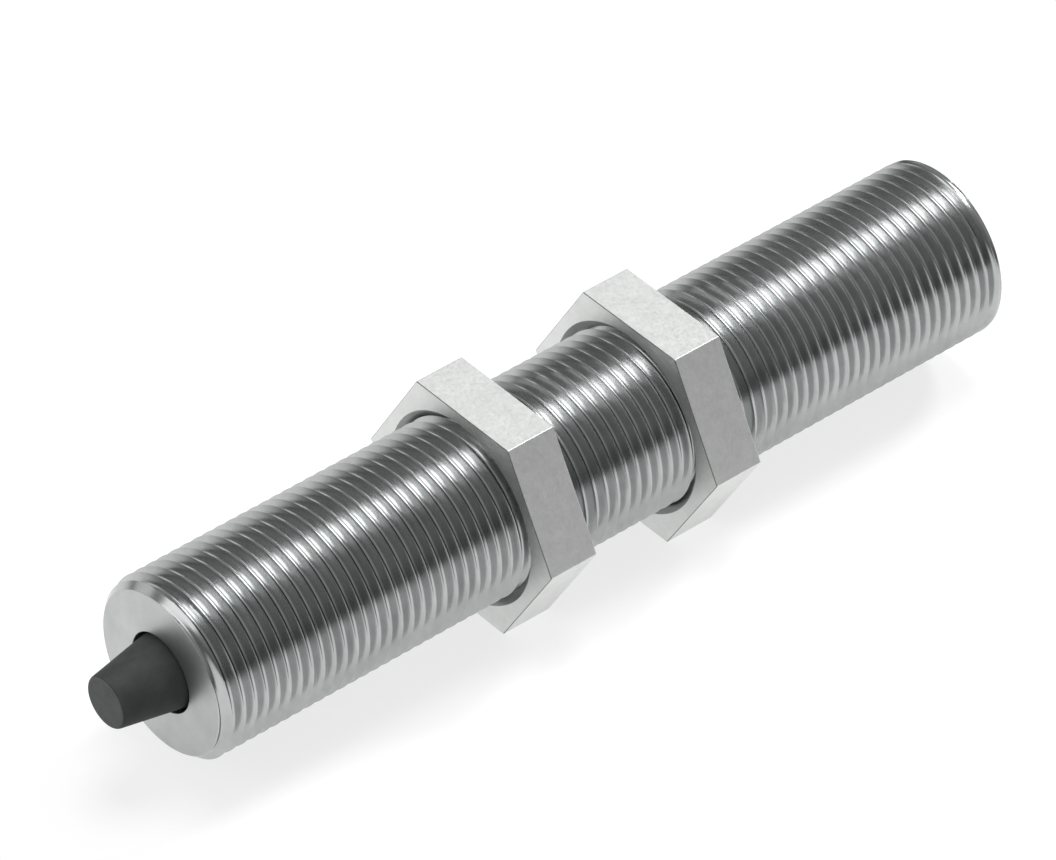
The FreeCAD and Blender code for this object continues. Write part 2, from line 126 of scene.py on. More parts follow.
class Nodes:
    """Adds nodes to one tree and wires them."""

    def __init__(self, tree: bpy.types.NodeTree) -> None:
        """Keep the tree that the nodes go into."""
        self.tree = tree

    def add(self, kind: str, inputs: Inputs | None = None, **settings: object) -> bpy.types.Node:
        """Add a node.

        Args:
            kind: Type name of the node.
            inputs: Value or socket for each input, by name or number.
            settings: Properties of the node.

        Returns:
            The node.
        """
        node = self.tree.nodes.new(kind)
        for name, value in settings.items():
            setattr(node, name, value)
        for key, value in (inputs or {}).items():
            self.feed(node.inputs[key], value)
        return node

    def feed(self, target: Socket, value: object) -> None:
        """Link a socket into a target, or set the target to a plain value.

        Args:
            target: Input that is fed.
            value: Output socket or plain value.
        """
        if isinstance(value, bpy.types.NodeSocket):
            self.tree.links.new(value, target)
        else:
            target.default_value = value

    def math(self, operation: str, *values: object) -> Socket:
        """Result of a Math node with these inputs."""
        return self.add("ShaderNodeMath", dict(enumerate(values)), operation=operation).outputs[0]

    def span(self, value: object, low: object, high: object, start: float, end: float) -> Socket:
        """Value moved from the span low..high to start..end, and held there."""
        inputs = {"Value": value, "From Min": low, "From Max": high, "To Min": start, "To Max": end}
        return self.add("ShaderNodeMapRange", inputs, clamp=True).outputs[0]

    def noise(self, inputs: Inputs, dimensions: str = "3D") -> Socket:
        """Value of a Noise Texture node with these inputs."""
        return self.add("ShaderNodeTexNoise", inputs, noise_dimensions=dimensions).outputs[0]

    def blend(self, share: object, first: object, second: object) -> Socket:
        """Mix two colours.

        Args:
            share: 0 for the first colour up to 1 for the second.
            first: Colour or socket.
            second: Colour or socket.

        Returns:
            The mixed colour.
        """
        mix = self.add("ShaderNodeMix", {"Factor": share}, data_type="RGBA")
        for name, colour in (("A", first), ("B", second)):
            self.feed(mix.inputs[name], (*colour, 1.0) if isinstance(colour, tuple) else colour)
        return mix.outputs["Result"]

    def polar(self, place: object, reach: object, angle: object) -> Socket:
        """Make a point from its place round X.

        Args:
            place: Place along X.
            reach: Distance from X.
            angle: Angle from +Y towards +Z, in radians.

        Returns:
            The point.
        """
        across = self.math("MULTIPLY", reach, self.math("COSINE", angle))
        above = self.math("MULTIPLY", reach, self.math("SINE", angle))
        return self.add("ShaderNodeCombineXYZ", {0: place, 1: across, 2: above}).outputs[0]


def new_tree(name: str, kind: str, inputs: dict[str, str], outputs: dict[str, str]) -> bpy.types.NodeTree:
    """Make a node group with named sockets.

    Args:
        name: Name of the group.
        kind: Type name of the tree.
        inputs: Socket type for each input.
        outputs: Socket type for each output.

    Returns:
        The group, whose first two nodes are its input and its output.
    """
    tree = bpy.data.node_groups.new(name, kind)
    for label, socket_type in inputs.items():
        tree.interface.new_socket(label, in_out="INPUT", socket_type=socket_type)
    for label, socket_type in outputs.items():
        tree.interface.new_socket(label, in_out="OUTPUT", socket_type=socket_type)
    tree.nodes.new("NodeGroupInput")
    tree.nodes.new("NodeGroupOutput")
    return tree


class SurfaceTree:
    """Geometry Nodes tree that bends a flat grid into one surface round X."""

    def __init__(self, name: str, lengths: Sequence[str], counts: Sequence[str]) -> None:
        """Start the tree.

        Args:
            name: Name of the tree.
            lengths: Names of its number inputs.
            counts: Names of its whole-number inputs, with Rows and Columns among them.
        """
        inputs = {label: "NodeSocketFloat" for label in lengths}
        inputs |= {label: "NodeSocketInt" for label in counts}
        inputs["Finish"] = "NodeSocketMaterial"
        self.tree = new_tree(name, "GeometryNodeTree", inputs, {"Surface": "NodeSocketGeometry"})
        self.nodes = Nodes(self.tree)
        self.given = {socket.name: socket for socket in self.tree.nodes[0].outputs}
        self.grid = self.nodes.add("GeometryNodeMeshGrid", {
            "Size X": 1.0, "Size Y": 1.0, "Vertices X": self.given["Rows"],
            "Vertices Y": self.nodes.math("ADD", self.given["Columns"], 1.0)})
        place = self.nodes.add("GeometryNodeInputPosition").outputs[0]
        flat = self.nodes.add("ShaderNodeSeparateXYZ", {0: place})
        self.row_share = self.nodes.math("ADD", flat.outputs[0], 0.5)
        self.column_share = self.nodes.math("ADD", flat.outputs[1], 0.5)

    def finish(self, point: Socket) -> None:
        """Move the grid to its points, weld its seam, make it real and give it its material.

        Args:
            point: Where each point of the grid goes.
        """
        add = self.nodes.add
        moved = add("GeometryNodeSetPosition", {"Geometry": self.grid.outputs["Mesh"], "Position": point})
        welded = add("GeometryNodeMergeByDistance", {"Geometry": moved.outputs[0], "Distance": WELD_M})
        whole = add("GeometryNodeRealizeInstances", {"Geometry": welded.outputs[0]})
        dressing = {"Geometry": whole.outputs[0], "Material": self.given["Finish"]}
        dressed = add("GeometryNodeSetMaterial", dressing)
        self.nodes.feed(self.tree.nodes[1].inputs["Surface"], dressed.outputs[0])

    def mesh(self, values: dict[str, object]) -> bpy.types.Mesh:
        """Run the tree once and keep its result as a plain mesh.

        Args:
            values: Value for each input, by name.

        Returns:
            The mesh, with no modifier left.
        """
        holder = bpy.data.objects.new(self.tree.name, bpy.data.meshes.new(self.tree.name))
        bpy.context.scene.collection.objects.link(holder)
        modifier = holder.modifiers.new(self.tree.name, "NODES")
        modifier.node_group = self.tree
        for item in self.tree.interface.items_tree:
            if item.in_out == "INPUT" and item.name in values:
                modifier[item.identifier] = values[item.name]
        graph = bpy.context.evaluated_depsgraph_get()
        mesh = bpy.data.meshes.new_from_object(holder.evaluated_get(graph))
        holder.modifiers.remove(modifier)
        bpy.data.objects.remove(holder)
        return mesh


# Mesh helpers


@dataclass(frozen=True)
class Corner:
    """Corner of a turned outline in mm: place along the axis, distance from it, edge rounding."""

    x: float
    radius: float
    rounding: float = 0.0


def rounded_path(corners: Sequence[Corner], closed: bool, steps: int = 5) -> list[Point]:
    """Points of an outline whose rounded corners are arcs.

    Args:
        corners: Corners in order.
        closed: Whether the last corner joins the first.
        steps: Runs in each arc.

    Returns:
        The points, in mm.
    """
    points: list[Point] = []
    count = len(corners)
    for index, corner in enumerate(corners):
        here = Vector((corner.x, corner.radius))
        at_end = not closed and index in (0, count - 1)
        if corner.rounding <= 0 or at_end:
            points.append((here.x, here.y))
            continue
        before = corners[index - 1]
        after = corners[(index + 1) % count]
        to_before = (Vector((before.x, before.radius)) - here).normalized()
        to_after = (Vector((after.x, after.radius)) - here).normalized()
        half = to_before.angle(to_after) / 2
        centre = here + (to_before + to_after).normalized() * (corner.rounding / math.sin(half))
        start = here + to_before * (corner.rounding / math.tan(half)) - centre
        end = here + to_after * (corner.rounding / math.tan(half)) - centre
        turn = start.angle_signed(end)
        for step in range(steps + 1):
            spoke = Matrix.Rotation(-turn * step / steps, 2) @ start
            points.append((centre.x + spoke.x, centre.y + spoke.y))
    return points


def add_ring(mesh: bmesh.types.BMesh, x: float, radii: Sequence[float]) -> list[bmesh.types.BMVert]:
    """Add a ring of points round X at even angles.

    Args:
        mesh: Mesh that gets the points.
        x: Place along the axis, in mm.
        radii: Radius of each point, in mm.

    Returns:
        The points, in order from +Y towards +Z.
    """
    ring = []
    for column, radius in enumerate(radii):
        angle = FULL_TURN * column / len(radii)
        across, above = radius * math.cos(angle), radius * math.sin(angle)
        ring.append(mesh.verts.new((x * MM, across * MM, above * MM)))
    return ring


def add_bands(mesh: bmesh.types.BMesh, rings: Sequence[Sequence[bmesh.types.BMVert]], closed: bool) -> None:
    """Fill the bands between rings of points with faces.

    Args:
        mesh: Mesh that gets the faces.
        rings: Rings of as many points each, in order.
        closed: Whether the last ring joins the first.
    """
    pairs = list(zip(rings, rings[1:]))
    if closed:
        pairs.append((rings[-1], rings[0]))
    for first, second in pairs:
        for column in range(len(first)):
            after = (column + 1) % len(first)
            mesh.faces.new((first[column], first[after], second[after], second[column]))


def add_turned(mesh: bmesh.types.BMesh, path: Sequence[Point], columns: int, closed: bool) -> None:
    """Revolve a path about X into a mesh.

    Args:
        mesh: Mesh that gets the faces.
        path: Points as place along the axis and radius, in mm.
        columns: Faces round the axis.
        closed: Whether the last point joins the first.
    """
    rings = [add_ring(mesh, x, [radius] * columns) for x, radius in path]
    add_bands(mesh, rings, closed)


def weld(mesh: bmesh.types.BMesh) -> None:
    """Join doubled points and turn every face outwards.

    Args:
        mesh: Mesh that is changed in place.
    """
    bmesh.ops.remove_doubles(mesh, verts=mesh.verts, dist=WELD_M)
    bmesh.ops.dissolve_degenerate(mesh, edges=mesh.edges, dist=SLIVER_M)
    bmesh.ops.recalc_face_normals(mesh, faces=mesh.faces)


def round_edges(mesh: bmesh.types.BMesh, edges: list[bmesh.types.BMEdge], width_mm: float) -> list:
    """Bevel these edges and give the new faces."""
    cut = bmesh.ops.bevel(
        mesh, geom=edges, offset=width_mm * MM, segments=2, profile=0.5, affect="EDGES", clamp_overlap=True)
    return cut["faces"]


def sharp_edges(mesh: bmesh.types.BMesh, limit_deg: float) -> list[bmesh.types.BMEdge]:
    """Edges between two faces that turn by more than a limit."""
    limit = math.radians(limit_deg)
    return [edge for edge in mesh.edges if len(edge.link_faces) == 2 and edge.calc_face_angle() > limit]


def place_piece(
    name: str,
    mesh: bmesh.types.BMesh,
    material: bpy.types.Material,
    body: str,
    nodes: Sequence[str],
    sharp_deg: float,
) -> bpy.types.Object:
    """Make a finished piece of a mesh and hang it on its body.

    Args:
        name: Name of the piece.
        mesh: Its faces; freed here.
        material: Its finish.
        body: Body it moves with.
        nodes: CAD nodes that it stands for.
        sharp_deg: Edges that turn by more than this stay sharp.

    Returns:
        The object.
    """
    data = bpy.data.meshes.new(name)
    mesh.to_mesh(data)
    mesh.free()
    data.materials.append(material)
    data.shade_smooth()
    data.set_sharp_from_angle(angle=math.radians(sharp_deg))
    piece = bpy.data.objects.new(name, data)
    bpy.context.scene.collection.objects.link(piece)
    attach(piece, body)
    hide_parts(*nodes)
    LOG.info("%s: %d faces, rides on %s", name, len(data.polygons), body)
    return piece


# Thread


@dataclass(frozen=True)
class Thread:
    """Right-hand 60 degree metric thread.

    The phase is a share of the pitch, and the flank slope is depth per length along the axis. The crowding
    of the rows of faces at crest and root goes from 0, for even rows, to 1. The spare turns of rows lie
    before the start, so that the rows cover it at every angle.
    """

    pitch_mm: float = 1.0
    depth_mm: float = 0.66
    crest_rounding_mm: float = 0.012
    root_rounding_mm: float = 0.2
    phase: float = 0.22
    rows_per_turn: int = 14
    crowding: float = 0.55
    flank_slope: float = math.sqrt(3.0)
    spare_turns: int = 2

    def tree(self) -> SurfaceTree:
        """Tree of a helical thread surface about X.

        Rows follow the helix, so crest and root stay crisp. Each end runs into a 45 degree cone whose
        radius at the end plane is an input.

        Returns:
            The tree.
        """
        surface = SurfaceTree("thread_surface", (
            "Start", "Length", "Pitch", "Radius", "Depth", "Flank Slope", "Crest Rounding", "Root Rounding",
            "Phase", "Front Radius", "Rear Radius", "Runout", "Side", "Crowding", "First Turn"),
            ("Turns", "Rows", "Columns"))
        nodes, given, turn_share = surface.nodes, surface.given, surface.column_share
        lead = nodes.math("ADD", turn_share, given["Phase"])
        first = nodes.math("ADD", lead, given["First Turn"])
        helix = nodes.math("MULTIPLY", nodes.math("ADD", self._crowded_rows(surface), first), given["Pitch"])
        end = nodes.math("ADD", given["Start"], given["Length"])
        place = nodes.math("MINIMUM", nodes.math("MAXIMUM", helix, given["Start"]), end)
        to_end = nodes.math("SUBTRACT", end, place)
        fade = nodes.span(to_end, 0.0, given["Runout"], 0.0, 1.0)
        cut = nodes.math("MULTIPLY", self._profile(surface, place, lead), fade)
        side = given["Side"]
        kept = nodes.math("MULTIPLY", nodes.math("SUBTRACT", given["Radius"], cut), side)
        front = nodes.math("ADD", nodes.math("MULTIPLY", given["Front Radius"], side),
                           nodes.math("SUBTRACT", place, given["Start"]))
        rear = nodes.math("ADD", nodes.math("MULTIPLY", given["Rear Radius"], side), to_end)
        within = nodes.math("MINIMUM", kept, nodes.math("MINIMUM", front, rear))
        angle = nodes.math("MULTIPLY", turn_share, FULL_TURN)
        surface.finish(nodes.polar(place, nodes.math("MULTIPLY", within, side), angle))
        return surface

    def _crowded_rows(self, surface: SurfaceTree) -> Socket:
        """Turn that each row stands for, drawn towards crest and root by a sine wave.

        Args:
            surface: The tree of the thread.

        Returns:
            The turn, counted from the first one.
        """
        nodes, given = surface.nodes, surface.given
        beat = 2 * FULL_TURN
        turns = nodes.math("MULTIPLY", surface.row_share, given["Turns"])
        wave = nodes.math("SINE", nodes.math("MULTIPLY", turns, beat))
        shift = nodes.math("MULTIPLY", wave, nodes.math("DIVIDE", given["Crowding"], beat))
        return nodes.math("SUBTRACT", turns, shift)

    def _profile(self, surface: SurfaceTree, place: Socket, lead: Socket) -> Socket:
        """Depth of the V groove with its rounded crest and root.

        Args:
            surface: The tree of the thread.
            place: Place along X.
            lead: Share of the pitch by which the crest has moved on at this angle.

        Returns:
            The depth below the crest.
        """
        nodes, given = surface.nodes, surface.given
        along = nodes.math("SUBTRACT", nodes.math("DIVIDE", place, given["Pitch"]), lead)
        share = nodes.math("FRACT", nodes.math("ADD", along, 0.5))
        off_crest = nodes.math("ABSOLUTE", nodes.math("SUBTRACT", share, 0.5))
        beside = nodes.math("MULTIPLY", off_crest, given["Pitch"])
        flank = nodes.math("MULTIPLY", beside, given["Flank Slope"])
        floored = nodes.math("SMOOTH_MIN", flank, given["Depth"], given["Root Rounding"])
        return nodes.math("SMOOTH_MAX", floored, 0.0, given["Crest Rounding"])

    def surface(self, tree: SurfaceTree, finish: bpy.types.Material, columns: int, side: Side,
                start: float, length: float, radius: float, depth: float,
                front_radius: float, rear_radius: float, runout: float) -> bpy.types.Mesh:
        """Run the tree for one threaded surface.

        Args:
            tree: The tree of this thread.
            finish: Material of the surface.
            columns: Faces round the axis.
            side: Outside for a screw, inside for a nut.
            start: First place along the axis, in mm.
            length: Length of the surface, in mm.
            radius: Radius at the crest of the screw, with the clearance of a nut, in mm.
            depth: Greatest depth below that radius, in mm.
            front_radius: Radius at the first plane, in mm.
            rear_radius: Radius at the last plane, in mm.
            runout: Length over which the thread fades at its end, in mm.

        Returns:
            The surface as a plain mesh, open at both ends.
        """
        first = math.floor(start / self.pitch_mm) - self.spare_turns
        turns = math.ceil((start + length) / self.pitch_mm) - first
        lengths_mm = {
            "Start": start, "Length": length, "Pitch": self.pitch_mm, "Radius": radius, "Depth": depth,
            "Crest Rounding": self.crest_rounding_mm, "Root Rounding": self.root_rounding_mm,
            "Front Radius": front_radius, "Rear Radius": rear_radius, "Runout": runout,
        }
        return tree.mesh({label: value * MM for label, value in lengths_mm.items()} | {
            "Flank Slope": self.flank_slope, "Phase": self.phase, "Side": float(side.value),
            "Crowding": self.crowding, "First Turn": float(first), "Turns": turns,
            "Rows": turns * self.rows_per_turn + 1, "Columns": columns, "Finish": finish,
        })


# Finishes


@dataclass
class SurfaceGroups:
    """Shader node groups that several finishes share, built once.

    Patches of this size make the turning rings stronger here and weaker there.
    """

    patch_size_mm: float = 1.4
    patch_strength: float = 4.0

    def __post_init__(self) -> None:
        """Build the groups."""
        self.rings = self._turning_rings()
        self.grain = self._surface_grain()

    def _turning_rings(self) -> bpy.types.NodeTree:
        """Fine uneven lines round X, as a turning tool leaves them, and the place they are at.

        Returns:
            The group, with the lines as Mask, and the distance from X, the place along it and the turn
            round it as Radius, Along and Turn.
        """
        inputs = {"Spacing": "NodeSocketFloat", "Patchiness": "NodeSocketFloat"}
        outputs = {label: "NodeSocketFloat" for label in ("Mask", "Radius", "Along", "Turn")}
        tree = new_tree("turning_rings", "ShaderNodeTree", inputs, outputs)
        nodes = Nodes(tree)
        given, result = tree.nodes[0], tree.nodes[1]
        place = nodes.add("ShaderNodeTexCoord").outputs["Object"]
        along, across, above = nodes.add("ShaderNodeSeparateXYZ", {0: place}).outputs
        radius = nodes.math("SQRT", nodes.math(
            "ADD", nodes.math("POWER", across, 2.0), nodes.math("POWER", above, 2.0)))
        travel = nodes.math("DIVIDE", nodes.math("ADD", along, radius), given.outputs["Spacing"])
        lines = nodes.noise({"W": travel, "Scale": 1.0, "Detail": 3.0, "Roughness": 0.7}, "1D")
        patch_scale = 1 / (self.patch_size_mm * MM)
        patches = nodes.noise({"Vector": place, "Scale": patch_scale, "Detail": 3.0, "Roughness": 0.6})
        level = nodes.math("MULTIPLY", nodes.math("SUBTRACT", patches, 0.5), self.patch_strength)
        share = nodes.math("ADD", 1.0, nodes.math("MULTIPLY", level, given.outputs["Patchiness"]))
        uneven = nodes.math("MULTIPLY", nodes.math("SUBTRACT", lines, 0.5), share)
        angle = nodes.math("ARCTAN2", above, across)
        nodes.feed(result.inputs["Mask"], nodes.math("ADD", 0.5, uneven))
        nodes.feed(result.inputs["Radius"], radius)
        nodes.feed(result.inputs["Along"], along)
        nodes.feed(result.inputs["Turn"], nodes.math("DIVIDE", angle, FULL_TURN))
        return tree

    def _surface_grain(self) -> bpy.types.NodeTree:
        """Even grain of a plated, moulded or foamed surface with slow cloudy changes.

        Returns:
            The group, with the outputs Grain and Cloud.
        """
        inputs = {"Size": "NodeSocketFloat", "Cloud Size": "NodeSocketFloat"}
        outputs = {"Grain": "NodeSocketFloat", "Cloud": "NodeSocketFloat"}
        tree = new_tree("surface_grain", "ShaderNodeTree", inputs, outputs)
        nodes = Nodes(tree)
        given, result = tree.nodes[0], tree.nodes[1]
        place = nodes.add("ShaderNodeTexCoord").outputs["Object"]
        for source, target, detail in (("Size", "Grain", 4.0), ("Cloud Size", "Cloud", 3.0)):
            scale = nodes.math("DIVIDE", 1.0, given.outputs[source])
            noise = nodes.noise({"Vector": place, "Scale": scale, "Detail": detail, "Roughness": 0.62})
            nodes.feed(result.inputs[target], noise)
        return tree


@dataclass(frozen=True)
class Zone:
    """Part of a surface with a colour and a gloss of its own.

    It lies nearer to X than its radius or before its plane, with a soft edge.
    """

    radius_mm: float
    plane_mm: float
    dark: Colour
    light: Colour
    roughness: float
    soft_mm: float = 0.02

    def mask(self, nodes: Nodes, lines: bpy.types.Node) -> Socket:
        """Mask of the zone.

        Args:
            nodes: Nodes of the material.
            lines: Its turning rings, which give the place on the surface.

        Returns:
            1 inside the radius or before the plane, else 0.
        """
        edge, plane, soft = self.radius_mm * MM, self.plane_mm * MM, self.soft_mm * MM
        near = nodes.span(lines.outputs["Radius"], edge - soft, edge + soft, 1.0, 0.0)
        front = nodes.span(lines.outputs["Along"], plane, plane + soft, 1.0, 0.0)
        return nodes.math("MAXIMUM", near, front)


@dataclass(frozen=True)
class PaintedGrooveShade:
    """Line of painted shade along a thread, at the foot of the rear flank.

    Its near and far side and its soft edge are shares of the pitch, counted from the crest towards the
    rear end. The shade is the share of the colour that the line loses.
    """

    thread: Thread
    start_mm: float
    end_mm: float
    near_side: float
    far_side: float
    shade: float
    soft: float = 0.02

    def mask(self, nodes: Nodes, lines: bpy.types.Node) -> Socket:
        """Mask of the line.

        Args:
            nodes: Nodes of the material.
            lines: Its turning rings, which give the place on the surface.

        Returns:
            1 on the line and 0 beside it.
        """
        place = lines.outputs["Along"]
        crest = nodes.math("ADD", lines.outputs["Turn"], self.thread.phase)
        turns = nodes.math("DIVIDE", place, self.thread.pitch_mm * MM)
        share = nodes.math("FRACT", nodes.math("SUBTRACT", turns, crest))
        after = nodes.span(share, self.near_side - self.soft, self.near_side, 0.0, 1.0)
        before = nodes.span(share, self.far_side, self.far_side + self.soft, 1.0, 0.0)
        first = nodes.math("GREATER_THAN", place, self.start_mm * MM)
        last = nodes.math("LESS_THAN", place, self.end_mm * MM)
        line = nodes.math("MULTIPLY", after, before)
        return nodes.math("MULTIPLY", line, nodes.math("MULTIPLY", first, last))


@dataclass(frozen=True)
class Finish:
    """Procedural finish of one material slot.

    The colour moves between dark and light by the cloud and the height, the roughness by the height, and
    the height of lines and grain goes into one Bump node. A zone has its own colour and gloss, a groove
    draws a line of painted shade along a thread, and an edge shade darkens the faces marked as edge line.
    """

    slot: Slot
    dark: Colour
    light: Colour
    metallic: float
    roughness: float
    roughness_spread: float = 0.08
    line_spacing_mm: float = 0.05
    line_share: float = 0.5
    patchiness: float = 0.5
    grain_size_mm: float = 0.12
    cloud_size_mm: float = 2.5
    cloud_share: float = 0.5
    bump_height_mm: float = 0.002
    tone_span: Point = (0.38, 0.62)
    gloss_span: Point = (0.3, 0.7)
    zone: Zone | None = None
    groove: PaintedGrooveShade | None = None
    edge_shade: float = 0.0

    def material(self, groups: SurfaceGroups) -> bpy.types.Material:
        """Build the material.

        Args:
            groups: The shared node groups.

        Returns:
            The material, named after its slot.
        """
        material = bpy.data.materials.new(f"{self.slot.value}_finish")
        material.use_nodes = True
        nodes = Nodes(material.node_tree)
        lines = nodes.add("ShaderNodeGroup", {
            "Spacing": self.line_spacing_mm * MM, "Patchiness": self.patchiness}, node_tree=groups.rings)
        grain = nodes.add("ShaderNodeGroup", {
            "Size": self.grain_size_mm * MM, "Cloud Size": self.cloud_size_mm * MM}, node_tree=groups.grain)
        height = self._mixed(nodes, grain.outputs["Grain"], lines.outputs["Mask"], self.line_share)
        cloudy = self._mixed(nodes, height, grain.outputs["Cloud"], self.cloud_share)
        tone = nodes.span(cloudy, *self.tone_span, 0.0, 1.0)
        paint = nodes.blend(tone, self.dark, self.light)
        least, most = self.roughness - self.roughness_spread, self.roughness + self.roughness_spread
        gloss = nodes.span(height, *self.gloss_span, least, most)
        # Painted shade: the groove's line darkens the colour at the foot of each rear flank.
        if self.groove:
            paint = nodes.blend(self.groove.mask(nodes, lines), paint, self._shaded(self.groove.shade))
        if self.zone:
            share = self.zone.mask(nodes, lines)
            paint = nodes.blend(share, paint, nodes.blend(tone, self.zone.dark, self.zone.light))
            more = nodes.math("MULTIPLY", share, self.zone.roughness - self.roughness)
            gloss = nodes.math("ADD", gloss, more)
        if self.edge_shade:
            marked = nodes.add("ShaderNodeAttribute", {}, attribute_name=EDGE_LINE).outputs["Fac"]
            paint = nodes.blend(marked, paint, self._shaded(self.edge_shade))
        bump = nodes.add("ShaderNodeBump", {"Height": height, "Distance": self.bump_height_mm * MM})
        shader = material.node_tree.nodes["Principled BSDF"]
        shader.inputs["Metallic"].default_value = self.metallic
        nodes.feed(shader.inputs["Base Color"], paint)
        nodes.feed(shader.inputs["Roughness"], gloss)
        nodes.feed(shader.inputs["Normal"], bump.outputs[0])
        return material

    def _mixed(self, nodes: Nodes, first: Socket, second: Socket, share: float) -> Socket:
        """Sum of two values, of which the second has this share."""
        rest = nodes.math("MULTIPLY", first, 1 - share)
        return nodes.math("ADD", nodes.math("MULTIPLY", second, share), rest)

    def _shaded(self, shade: float) -> Colour:
        """Dark colour that has lost this share."""
        return tuple(part * (1 - shade) for part in self.dark)


# Values that finishes and pieces share

THREAD = Thread()
CHAMFER_MM = 0.7
ZONE_MARGIN_MM = 0.02
BARREL_LOW, BARREL_HIGH = box_mm("outer_tube")
CAP_LOW, CAP_HIGH = box_mm("impact_cap")

FINISHES = (
    Finish(
        Slot.BARREL, dark=(0.41, 0.42, 0.42), light=(0.51, 0.52, 0.52), metallic=1.0, roughness=0.2,
        roughness_spread=0.03, line_spacing_mm=0.06, line_share=0.8, patchiness=0.6, bump_height_mm=0.0002,
        # Painted shade along the thread's roots, at the foot of each rear flank.
        groove=PaintedGrooveShade(
            THREAD, start_mm=BARREL_LOW.x + 0.1, end_mm=BARREL_HIGH.x - 0.9,
            near_side=0.34, far_side=0.47, shade=0.7),
        zone=Zone(
            radius_mm=BARREL_HIGH.z - CHAMFER_MM + ZONE_MARGIN_MM, plane_mm=BARREL_LOW.x + 0.01,
            dark=(0.48, 0.49, 0.485), light=(0.57, 0.58, 0.575), roughness=0.42)),
    Finish(
        Slot.NUT, dark=(0.74, 0.75, 0.74), light=(0.82, 0.83, 0.82), metallic=1.0, roughness=0.48,
        roughness_spread=0.05, line_spacing_mm=0.35, line_share=0.15, grain_size_mm=0.22, cloud_size_mm=1.3,
        bump_height_mm=0.004, edge_shade=0.7),
    Finish(
        Slot.CAP, dark=(0.044, 0.046, 0.046), light=(0.069, 0.072, 0.072), metallic=0.0, roughness=0.72,
        line_share=0.1, grain_size_mm=0.09, cloud_size_mm=1.2, bump_height_mm=0.008,
        # Painted light: the tip face is painted lighter than the rest of the cap, standing in for the light
        # it catches.
        zone=Zone(
            radius_mm=0.0, plane_mm=CAP_LOW.x + 0.06,
            dark=(0.135, 0.14, 0.14), light=(0.185, 0.19, 0.19), roughness=0.78)),
    Finish(
        Slot.CHROME, dark=(0.66, 0.67, 0.68), light=(0.74, 0.75, 0.76), metallic=1.0, roughness=0.12,
        roughness_spread=0.03, line_spacing_mm=0.02, bump_height_mm=0.0006),
    Finish(
        Slot.TURNED, dark=(0.42, 0.42, 0.43), light=(0.56, 0.56, 0.57), metallic=1.0, roughness=0.3,
        line_spacing_mm=0.06, line_share=0.8),
    Finish(
        Slot.SPRING, dark=(0.22, 0.22, 0.23), light=(0.36, 0.36, 0.37), metallic=1.0, roughness=0.34,
        roughness_spread=0.06, line_share=0.2),
    Finish(
        Slot.BRONZE, dark=(0.52, 0.35, 0.14), light=(0.68, 0.49, 0.22), metallic=1.0, roughness=0.32,
        line_share=0.7),
    Finish(
        Slot.RUBBER, dark=(0.02, 0.02, 0.02), light=(0.04, 0.04, 0.04), metallic=0.0, roughness=0.5,
        line_share=0.2, grain_size_mm=0.06, bump_height_mm=0.003),
    Finish(
        Slot.WIPER, dark=(0.24, 0.14, 0.05), light=(0.4, 0.25, 0.1), metallic=0.0, roughness=0.45,
        line_share=0.3, grain_size_mm=0.08),
    Finish(
        Slot.FOAM, dark=(0.035, 0.035, 0.04), light=(0.09, 0.09, 0.1), metallic=0.0, roughness=0.85,
        roughness_spread=0.05, line_share=0.05, grain_size_mm=0.25, bump_height_mm=0.06),
    Finish(Slot.BLACK, dark=(0.03, 0.03, 0.03), light=(0.08, 0.08, 0.08), metallic=1.0, roughness=0.4),
)


# Sub-assemblies


@dataclass
class Barrel:
    """Barrel with its thread, the stop face and the bore."""

    columns: int = 90
    chamfer_mm: float = CHAMFER_MM
    rear_edge_mm: float = 0.04
    runout_mm: float = 0.8
    nose_clearance_mm: float = 0.15
    nose_edge_mm: float = 0.1
    bore_edge_mm: float = 0.25
    sharp_deg: float = 40.0

    def build(self, tree: SurfaceTree, finish: bpy.types.Material) -> bpy.types.Object:
        """Thread surface welded to the turned faces and bores.

        Args:
            tree: Tree of the thread.
            finish: Material of the barrel.

        Returns:
            The piece.
        """
        low, high, radius = BARREL_LOW, BARREL_HIGH, BARREL_HIGH.z
        nose_radius = CAP_HIGH.z + self.nose_clearance_mm
        nose_end = box_mm("rod_guide")[0].x
        bore = box_mm("guide_gasket")[1].z
        front_radius, rear_radius = radius - self.chamfer_mm, radius - self.rear_edge_mm
        surface = THREAD.surface(
            tree, finish, self.columns, Side.OUTSIDE, low.x, high.x - low.x, radius, THREAD.depth_mm,
            front_radius, rear_radius, self.runout_mm)
        mesh = bmesh.new()
        mesh.from_mesh(surface)
        add_turned(mesh, rounded_path([
            Corner(low.x, front_radius),
            Corner(low.x, nose_radius, self.nose_edge_mm),
            Corner(nose_end, nose_radius, self.nose_edge_mm),
            Corner(nose_end, bore),
            Corner(high.x, bore, self.bore_edge_mm),
            Corner(high.x, rear_radius),
        ], closed=False), self.columns, closed=False)
        weld(mesh)
        return place_piece(
            "barrel_shell", mesh, finish, "barrel", ["outer_tube"], self.sharp_deg)


